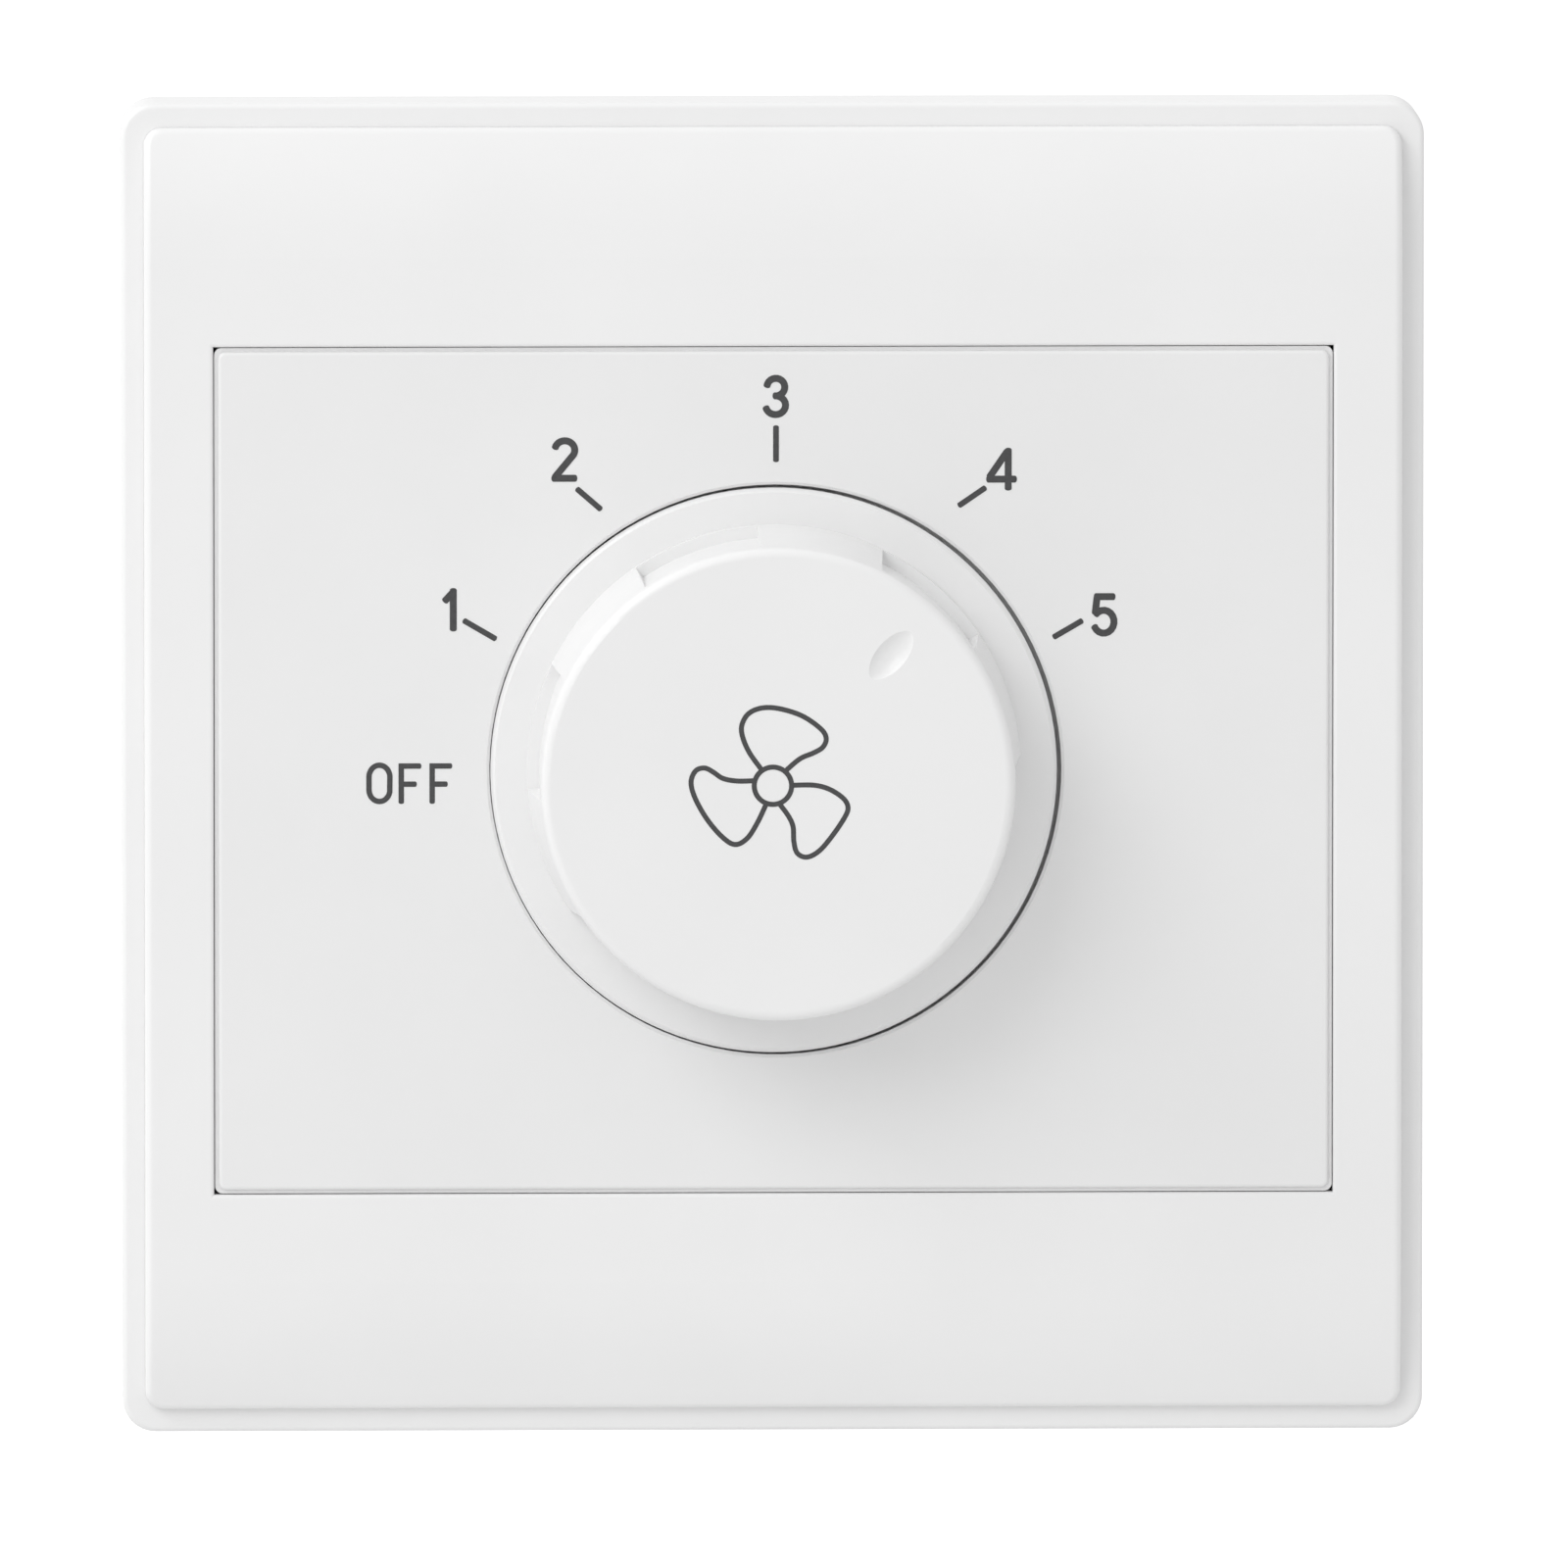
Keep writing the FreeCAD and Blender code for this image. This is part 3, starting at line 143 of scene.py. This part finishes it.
# Outline of the fan, from its place on the knob's face: the hub, then each blade's points
FAN_PLACE = (-0.06, 0.01)
FAN_HUB_PLACE = (-0.3, -0.06)
FAN_HUB_RADIUS = 1.23
FAN_BLADES = [
    [(-1.12, 1.1), (-1.83, 2.1), (-2.27, 3.09), (-2.35, 3.9), (-1.93, 4.67), (-1.07, 5.06),
     (0.08, 5.03), (1.62, 4.54), (2.85, 3.68), (3.2, 3.05), (2.98, 2.48), (2.39, 2.11),
     (1.49, 1.72), (0.62, 1.0)],
    [(-1.6, 0.27), (-2.7, 0.26), (-3.6, 0.44), (-4.25, 0.87), (-4.8, 1.12), (-5.38, 0.93),
     (-5.68, 0.2), (-5.43, -0.83), (-4.65, -2.23), (-3.64, -3.42), (-2.78, -3.93),
     (-1.98, -3.51), (-1.32, -2.49), (-0.78, -1.35)],
    [(1.0, -0.03), (2.39, -0.03), (3.41, -0.3), (4.3, -0.88), (4.63, -1.47), (4.44, -2.11),
     (3.66, -3.29), (2.78, -4.33), (1.96, -4.77), (1.31, -4.52), (1.08, -3.77), (1.02, -2.75),
     (0.7, -2.03), (0.2, -1.35)],
]

# Textures: values that noise keeps between, its scales in cycles per metre, how far it moves
# a roughness as a share of it, how strongly it raises the surface, and streaks' directions
NOISE_LOW = 0.3
NOISE_HIGH = 0.7
NOISE_DETAIL = 4.0
ALL_WAYS = (1.0, 1.0, 1.0)
ALONG_X = (0.08, 1.0, 1.0)
ALONG_Y = (1.0, 0.08, 1.0)
ALONG_Z = (1.0, 1.0, 0.08)
PATCH_DETAIL = 3.0
PLASTIC_PATCHES = 60.0
PLASTIC_DETAIL = 2.0
PLASTIC_SHEEN = 0.12
PLASTIC_BUMP = 0.3
PLASTIC_IOR = 1.49
METAL_PATCHES = 250.0
METAL_SHEEN = 0.15
METAL_BUMP = 0.4

# Enamelled wire: its turns as waves, their depth in micrometres, and two tones of copper, the
# darker one painted shade in the grooves between turns
WIRE_WAVES = 900.0
WIRE_WOBBLE = 0.6
WIRE_DETAIL = 1.0
WIRE_DEPTH = 80.0
WIRE_BUMP = 0.8
WIRE_GROOVE_SHADE_TONES = ((0.22, 0.07, 0.03), (0.55, 0.2, 0.08))
WIRE_PATCHES = 700.0
WIRE_SHEEN = (0.28, 0.42)
WIRE_METALLIC = 0.6
WIRE_COAT = 0.5

# Paper laminate: fibres along Z, with their depth in micrometres
FIBRE_SCALE = 1500.0
FIBRE_DETAIL = 6.0
FIBRE_STRETCH = (1.0, 1.0, 0.25)
FIBRE_DEPTH = 20.0
FIBRE_BUMP = 0.4
LAMINATE_TONES = ((0.3, 0.16, 0.06), (0.42, 0.25, 0.1))
LAMINATE_PATCHES = 900.0
LAMINATE_SHEEN = (0.45, 0.6)

# Ink: patches, with their depth in micrometres
INK_PATCHES = 3000.0
INK_TONES = ((0.032, 0.032, 0.033), (0.05, 0.05, 0.052))
INK_SHEEN = (0.5, 0.62)
INK_DEPTH = 5.0
INK_BUMP = 0.3


def arc(x, z, radius_x, radius_z, start, end, steps=ARC_STEPS):
    """Points of an elliptic arc, angles in degrees anticlockwise from +X."""
    points = []
    for step in range(steps + 1):
        angle = math.radians(start + (end - start) * step / steps)
        points.append((x + radius_x * math.cos(angle), z + radius_z * math.sin(angle)))
    return points


def smoothed(points):
    """Smooth open curve through the points."""
    ends = [points[0]] + points + [points[-1]]
    curve = []
    for index in range(1, len(ends) - 2):
        before, start, end, after = (Vector(ends[index + shift]) for shift in (-1, 0, 1, 2))
        for step in range(CURVE_STEPS):
            t = step / CURVE_STEPS
            bend = (2 * before - 5 * start + 4 * end - after) * t ** 2
            twist = (3 * start - before - 3 * end + after) * t ** 3
            curve.append(tuple((2 * start + (end - before) * t + bend + twist) / 2))
    return curve + [points[-1]]


def figure_strokes():
    """Strokes of the five figures from each one's middle, the straight figures first."""
    return {
        "1": [
            [(-0.44, 0.6), (0.05, 1.12)],
            [(0.1, 1.3), (0.1, -1.3)],
        ],
        "4": [
            [(0.46, 1.28), (0.46, -1.28)],
            [(0.38, 1.16), (-0.76, -0.5)],
            [(-0.86, -0.66), (0.9, -0.66)],
        ],
        "2": [
            arc(0.03, 0.62, 0.66, 0.62, 165, -30) + [(-0.6, -1.14)],
            [(-0.72, -1.24), (0.72, -1.24)],
        ],
        "3": [
            arc(-0.02, 0.58, 0.59, 0.58, 172, -72),
            [(-0.1, 0.0), (0.2, 0.0)],
            arc(-0.04, -0.62, 0.66, 0.62, 78, -165),
        ],
        "5": [
            [(0.66, 1.22), (-0.5, 1.22)],
            [(-0.42, 1.2), (-0.54, 0.14)],
            arc(0.02, -0.44, 0.68, 0.76, 140, -155),
        ],
    }


def off_strokes():
    """Strokes of the word OFF: a closed ring, then two strokes for each F."""
    top = arc(RING_X, RING_TOP_Z, *RING_RADII, 0, 180)
    bottom = arc(RING_X, RING_BOTTOM_Z, *RING_RADII, 180, 360)
    strokes = [top + bottom[:-1] + [top[0]]]
    for left in F_LEFTS:
        corner = (left, LETTER_RISE)
        strokes.append([(left + F_TOP_LENGTH, LETTER_RISE), corner, (left, -LETTER_RISE)])
        strokes.append([(left, 0.0), (left + F_MIDDLE_LENGTH, 0.0)])
    return strokes


def add_vertex(mesh, spot, depth):
    """Adds a bmesh vertex at a spot of the XZ plane and this far behind it."""
    return mesh.verts.new((spot.x * MM, depth * MM, spot.y * MM))


def add_stroke(mesh, points, width, depth):
    """Adds one flat stroke with round ends to a bmesh, as faces parallel to XZ at this depth.

    Two vertices stand across the line at each of its points, further apart at a bend, so that
    the stroke keeps its width there.
    """
    line = [Vector(point) for point in points]
    closed = (line[0] - line[-1]).length < CLOSED_GAP
    if closed:
        line = line[:-1]
    count = len(line)
    rows = []
    for index, point in enumerate(line):
        before = line[index - 1] if closed or index else point
        after = line[(index + 1) % count] if closed or index < count - 1 else point
        into = (point - before if before is not point else after - point).normalized()
        out = (after - point).normalized() if after is not point else into
        along = (into + out).normalized()
        across = Vector((-along.y, along.x))
        reach = width / 2 / max(MITRE_COSINE, across.dot(Vector((-into.y, into.x))))
        sides = (point + across * reach, point - across * reach)
        rows.append([add_vertex(mesh, side, depth) for side in sides])
    for index in range(count if closed else count - 1):
        left, right = rows[index], rows[(index + 1) % count]
        mesh.faces.new((left[0], right[0], right[1], left[1]))
    if not closed:
        add_cap(mesh, line[0], line[0] - line[1], rows[0][1], rows[0][0], width, depth)
        add_cap(mesh, line[-1], line[-1] - line[-2], rows[-1][0], rows[-1][1], width, depth)


def add_cap(mesh, end, outwards, first, last, width, depth):
    """Adds the flattened half disc that rounds one end of a stroke, from first to last vertex."""
    out = outwards.normalized()
    across = Vector((-out.y, out.x))
    rim = []
    for step in range(1, CAP_STEPS):
        angle = math.pi * step / CAP_STEPS
        spoke = across * math.cos(angle) + out * CAP_BULGE * math.sin(angle)
        rim.append(add_vertex(mesh, end + spoke * width / 2, depth))
    mesh.faces.new([first] + rim + [last])


def printed(name, strokes, place, width, face_y, body):
    """Print on a body's face that looks along -Y: strokes round a place, slightly thick."""
    mesh = bmesh.new()
    for number, points in enumerate(strokes):
        line = [(place[0] + x, place[1] + z) for x, z in points]
        add_stroke(mesh, line, width, number * INK_STEP)
    made = bmesh.ops.extrude_face_region(mesh, geom=list(mesh.faces), use_keep_orig=True)
    front = [item for item in made["geom"] if isinstance(item, bmesh.types.BMVert)]
    bmesh.ops.translate(mesh, verts=front, vec=(0, -(INK_PROUD + INK_SUNK) * MM, 0))
    bmesh.ops.translate(mesh, verts=list(mesh.verts), vec=(0, face_y + INK_SUNK * MM, 0))
    bmesh.ops.recalc_face_normals(mesh, faces=list(mesh.faces))
    data = bpy.data.meshes.new(name)
    mesh.to_mesh(data)
    mesh.free()
    piece = bpy.data.objects.new(name, data)
    bpy.context.scene.collection.objects.link(piece)
    data.materials.append(MATERIALS["ink"])
    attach(piece, body)


def new_material(name):
    """New material, with its node tree and its Principled shader."""
    material = bpy.data.materials.new(name)
    material.use_nodes = True
    tree = material.node_tree
    return material, tree, tree.nodes["Principled BSDF"]


def noise(tree, scale, detail=NOISE_DETAIL, stretch=ALL_WAYS):
    """Value of a noise texture over the piece's own coordinates."""
    coordinates = tree.nodes.new("ShaderNodeTexCoord")
    mapping = tree.nodes.new("ShaderNodeMapping")
    mapping.inputs["Scale"].default_value = stretch
    texture = tree.nodes.new("ShaderNodeTexNoise")
    texture.inputs["Scale"].default_value = scale
    texture.inputs["Detail"].default_value = detail
    tree.links.new(coordinates.outputs["Object"], mapping.inputs["Vector"])
    tree.links.new(mapping.outputs["Vector"], texture.inputs["Vector"])
    return texture.outputs["Fac"]


def spread(tree, value, low, high):
    """Maps a texture's value from the range that noise keeps to onto low to high."""
    ranged = tree.nodes.new("ShaderNodeMapRange")
    ranged.inputs["From Min"].default_value = NOISE_LOW
    ranged.inputs["From Max"].default_value = NOISE_HIGH
    ranged.inputs["To Min"].default_value = low
    ranged.inputs["To Max"].default_value = high
    tree.links.new(value, ranged.inputs["Value"])
    return ranged.outputs["Result"]


def tinted(tree, shader, value, first, second):
    """Lets the shader's colour run from the first tone to the second, by a texture's value."""
    mix = tree.nodes.new("ShaderNodeMix")
    mix.data_type = "RGBA"
    mix.inputs["A"].default_value = (*first, 1.0)
    mix.inputs["B"].default_value = (*second, 1.0)
    tree.links.new(spread(tree, value, 0.0, 1.0), mix.inputs["Factor"])
    tree.links.new(mix.outputs["Result"], shader.inputs["Base Color"])


def roughened(tree, shader, value, low, high):
    """Lets the shader's roughness run from low to high, by a texture's value."""
    tree.links.new(spread(tree, value, low, high), shader.inputs["Roughness"])


def bumped(tree, shader, height, depth, strength):
    """Raises the shader's surface by a texture's value, depth in micrometres."""
    bump = tree.nodes.new("ShaderNodeBump")
    bump.inputs["Strength"].default_value = strength
    bump.inputs["Distance"].default_value = depth * MICRON
    tree.links.new(height, bump.inputs["Height"])
    tree.links.new(bump.outputs["Normal"], shader.inputs["Normal"])


def plastic(name, colour, roughness, grain, depth, variation=0.012):
    """Moulded plastic: slow tone drift, fine mould grain and an uneven sheen."""
    material, tree, shader = new_material(name)
    darker = tuple(channel * (1 - variation) for channel in colour)
    lighter = tuple(min(1.0, channel * (1 + variation)) for channel in colour)
    patches = noise(tree, PLASTIC_PATCHES, PATCH_DETAIL)
    fine = noise(tree, grain, PLASTIC_DETAIL)
    duller, glossier = roughness * (1 + PLASTIC_SHEEN), roughness * (1 - PLASTIC_SHEEN)
    tinted(tree, shader, patches, darker, lighter)
    roughened(tree, shader, fine, glossier, duller)
    bumped(tree, shader, fine, depth, PLASTIC_BUMP)
    shader.inputs["IOR"].default_value = PLASTIC_IOR
    return material


def metal(name, colour, roughness, stretch, grain=900.0, depth=10.0, variation=0.08):
    """Metal with drawn or rolled streaks along one direction."""
    material, tree, shader = new_material(name)
    darker = tuple(channel * (1 - variation) for channel in colour)
    streaks = noise(tree, grain, stretch=stretch)
    patches = noise(tree, METAL_PATCHES, PATCH_DETAIL)
    duller, glossier = roughness * (1 + METAL_SHEEN), roughness * (1 - METAL_SHEEN)
    tinted(tree, shader, patches, darker, colour)
    roughened(tree, shader, streaks, glossier, duller)
    bumped(tree, shader, streaks, depth, METAL_BUMP)
    shader.inputs["Metallic"].default_value = 1.0
    return material


def winding(name):
    """Enamelled copper wire laid in turns beside each other, painted darker in the grooves
    between them as shade.
    """
    material, tree, shader = new_material(name)
    coordinates = tree.nodes.new("ShaderNodeTexCoord")
    wave = tree.nodes.new("ShaderNodeTexWave")
    wave.bands_direction = "Z"
    wave.inputs["Scale"].default_value = WIRE_WAVES
    wave.inputs["Distortion"].default_value = WIRE_WOBBLE
    wave.inputs["Detail"].default_value = WIRE_DETAIL
    tree.links.new(coordinates.outputs["Object"], wave.inputs["Vector"])
    # Painted shade: the copper's tone follows the waves that raise the turns, darker in the
    # grooves between them
    tinted(tree, shader, wave.outputs["Fac"], *WIRE_GROOVE_SHADE_TONES)
    roughened(tree, shader, noise(tree, WIRE_PATCHES), *WIRE_SHEEN)
    bumped(tree, shader, wave.outputs["Fac"], WIRE_DEPTH, WIRE_BUMP)
    shader.inputs["Metallic"].default_value = WIRE_METALLIC
    shader.inputs["Coat Weight"].default_value = WIRE_COAT
    return material


def laminate(name):
    """Paper laminate board with fibres and a slight mottle."""
    material, tree, shader = new_material(name)
    fibres = noise(tree, FIBRE_SCALE, FIBRE_DETAIL, FIBRE_STRETCH)
    tinted(tree, shader, fibres, *LAMINATE_TONES)
    roughened(tree, shader, noise(tree, LAMINATE_PATCHES), *LAMINATE_SHEEN)
    bumped(tree, shader, fibres, FIBRE_DEPTH, FIBRE_BUMP)
    return material


def printing_ink(name):
    """Dark grey pad-print ink, slightly uneven."""
    material, tree, shader = new_material(name)
    patches = noise(tree, INK_PATCHES, PATCH_DETAIL)
    tinted(tree, shader, patches, *INK_TONES)
    roughened(tree, shader, patches, *INK_SHEEN)
    bumped(tree, shader, patches, INK_DEPTH, INK_BUMP)
    return material


# How each material is made. A plastic has its colour, roughness, grain in cycles per metre,
# depth of grain in micrometres and variation of tone. A metal has its colour, roughness,
# direction of streaks, grain, depth and variation. What is left out keeps its usual value.
FINISHES = {
    "carrier_white": (plastic, (0.83, 0.83, 0.83), 0.42, 1800.0, 6.0),
    "cover_white": (plastic, (0.83, 0.83, 0.83), 0.36, 1500.0, 6.0),
    "panel_white": (plastic, (0.8, 0.8, 0.8), 0.46, 2400.0, 8.0),
    "knob_white": (plastic, (0.82, 0.82, 0.82), 0.34, 1500.0, 5.0),
    "housing_black": (plastic, (0.022, 0.022, 0.024), 0.5, 2400.0, 30.0, 0.15),
    "switch_brown": (plastic, (0.11, 0.045, 0.022), 0.42, 1800.0, 20.0, 0.2),
    "rotor_natural": (plastic, (0.62, 0.58, 0.48), 0.45, 1800.0, 10.0, 0.04),
    "bobbin_natural": (plastic, (0.66, 0.63, 0.54), 0.45, 1800.0, 10.0, 0.04),
    "board_laminate": (laminate,),
    "terminal_grey": (plastic, (0.2, 0.21, 0.22), 0.45, 2000.0, 20.0, 0.06),
    "plated_steel": (metal, (0.66, 0.66, 0.64), 0.36, ALL_WAYS),
    "spring_steel": (metal, (0.52, 0.51, 0.5), 0.34, ALONG_X),
    "core_steel": (metal, (0.3, 0.3, 0.31), 0.45, ALONG_X, 2500.0, 40.0, 0.2),
    "bearing_steel": (metal, (0.75, 0.75, 0.76), 0.08, ALL_WAYS, 400.0, 1.0, 0.02),
    "shaft_aluminium": (metal, (0.8, 0.8, 0.81), 0.34, ALONG_Y),
    "copper_wire": (winding,),
    "contact_brass": (metal, (0.72, 0.52, 0.22), 0.34, ALL_WAYS),
    "wiper_bronze": (metal, (0.68, 0.42, 0.25), 0.34, ALONG_Z),
    "ink": (printing_ink,),
}
MATERIALS = {name: make(name, *values) for name, (make, *values) in FINISHES.items()}


def dress_nodes():
    """Gives each CAD node the material of its slot in the record."""
    for part in frame["record"]["subparts"]:
        slots = NODES[part["node"]].data.materials
        slots.clear()
        slots.append(MATERIALS[part["material_slot"]])


def print_on_panel(name, strokes, place, width):
    """One piece of the dial panel's print."""
    right, up = PRINT_SHIFT
    face_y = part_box("dial_panel")[0].y
    printed(name, strokes, (place[0] + right, place[1] + up), width, face_y, "plate")


def print_panel():
    """The word OFF, the five figures and their ticks on the dial panel."""
    print_on_panel("print_off", off_strokes(), OFF_PLACE, OFF_STROKE)
    for figure, strokes in figure_strokes().items():
        print_on_panel(f"print_{figure}", strokes, FIGURE_PLACES[figure], FIGURE_STROKE)
    for figure, ends in TICKS.items():
        print_on_panel(f"tick_{figure}", [ends], (0.0, 0.0), TICK_STROKE)


def print_knob():
    """The outline of a fan on the knob's face."""
    hub = arc(*FAN_HUB_PLACE, FAN_HUB_RADIUS, FAN_HUB_RADIUS, 0, 360, CIRCLE_STEPS)
    strokes = [hub] + [smoothed(blade) for blade in FAN_BLADES]
    face_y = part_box("knob")[0].y
    printed("fan_outline", strokes, FAN_PLACE, FAN_STROKE, face_y, "rotor")


def seen_directly(tree):
    """1 for camera, glossy and transmission rays, so that gloss shows the background too."""
    path = tree.nodes.new("ShaderNodeLightPath")
    total = path.outputs["Is Camera Ray"]
    for ray in ("Is Glossy Ray", "Is Transmission Ray"):
        both = tree.nodes.new("ShaderNodeMath")
        both.operation = "MAXIMUM"
        tree.links.new(total, both.inputs[0])
        tree.links.new(path.outputs[ray], both.inputs[1])
        total = both.outputs[0]
    return total


def make_floor():
    """Plain pale floor below the object, which keeps its shadow."""
    half = FLOOR_SIZE / 2
    height = CAD_BOX[0].z - FLOOR_DROP
    corners = ((-half, -half), (half, -half), (half, half), (-half, half))
    data = bpy.data.meshes.new("floor")
    data.from_pydata([(x, y, height) for x, y in corners], [], [(0, 1, 2, 3)])
    floor = bpy.data.objects.new("floor", data)
    bpy.context.scene.collection.objects.link(floor)
    material, tree, shader = new_material("floor_paper")
    shader.inputs["Base Color"].default_value = FLOOR_GREY
    shader.inputs["Roughness"].default_value = FLOOR_ROUGHNESS
    shader.inputs["Specular IOR Level"].default_value = FLOOR_SPECULAR
    shader.inputs["Emission Color"].default_value = WHITE
    glow = tree.nodes.new("ShaderNodeMath")
    glow.operation = "MULTIPLY"
    glow.inputs[1].default_value = FLOOR_GLOW
    tree.links.new(seen_directly(tree), glow.inputs[0])
    tree.links.new(glow.outputs[0], shader.inputs["Emission Strength"])
    data.materials.append(material)


def make_world():
    """White background to look at, and a plain sky that lights the object."""
    world = bpy.data.worlds.new("studio")
    bpy.context.scene.world = world
    world.use_nodes = True
    tree = world.node_tree
    sky = tree.nodes["Background"]
    sky.inputs["Color"].default_value = WHITE
    sky.inputs["Strength"].default_value = SKY_LEVEL
    paper = tree.nodes.new("ShaderNodeBackground")
    paper.inputs["Color"].default_value = WHITE
    paper.inputs["Strength"].default_value = 1.0
    choice = tree.nodes.new("ShaderNodeMixShader")
    tree.links.new(seen_directly(tree), choice.inputs["Fac"])
    tree.links.new(sky.outputs["Background"], choice.inputs[1])
    tree.links.new(paper.outputs["Background"], choice.inputs[2])
    tree.links.new(choice.outputs["Shader"], tree.nodes["World Output"].inputs["Surface"])


def make_lamp(name, source, size, level):
    """Square softbox that gives a surface facing it this level, 1 being full white.

    A white surface at distance d sends back energy / (pi * d) ** 2.
    """
    direction = Vector(source).normalized()
    lamp = bpy.data.lights.new(name, "AREA")
    lamp.shape = "SQUARE"
    lamp.size = size
    lamp.energy = level * math.pi ** 2 * LAMP_DISTANCE ** 2
    stand = bpy.data.objects.new(name, lamp)
    stand.location = direction * LAMP_DISTANCE
    stand.rotation_mode = "QUATERNION"
    stand.rotation_quaternion = (-direction).to_track_quat("-Z", "Y")
    bpy.context.scene.collection.objects.link(stand)


def make_camera():
    """Long lens from slightly above and left, framed as the photograph is."""
    above = math.radians(VIEW_ABOVE)
    left = math.radians(VIEW_FROM_LEFT)
    flat = math.cos(above)
    back = Vector((-math.sin(left) * flat, -math.cos(left) * flat, math.sin(above)))
    aim = Vector((AIM_RIGHT * MM, AIM_DEPTH * MM, AIM_UP * MM))
    data = bpy.data.cameras.new("camera")
    data.sensor_width = SENSOR
    data.lens = LENS
    data.clip_start = CLIP_START
    data.clip_end = CLIP_END
    camera = bpy.data.objects.new("camera", data)
    camera.location = aim + back * (PHOTO_PIXELS / PIXELS_PER_MM * MM * LENS / SENSOR)
    camera.rotation_mode = "QUATERNION"
    camera.rotation_quaternion = (-back).to_track_quat("-Z", "Y")
    bpy.context.scene.collection.objects.link(camera)
    bpy.context.scene.camera = camera


dress_nodes()
print_panel()
print_knob()
make_floor()
make_world()
make_lamp("key", KEY_FROM, KEY_SIZE, KEY_LEVEL)
make_lamp("rake", RAKE_FROM, RAKE_SIZE, RAKE_LEVEL)
make_camera()
bpy.context.scene.view_settings.view_transform = "Standard"
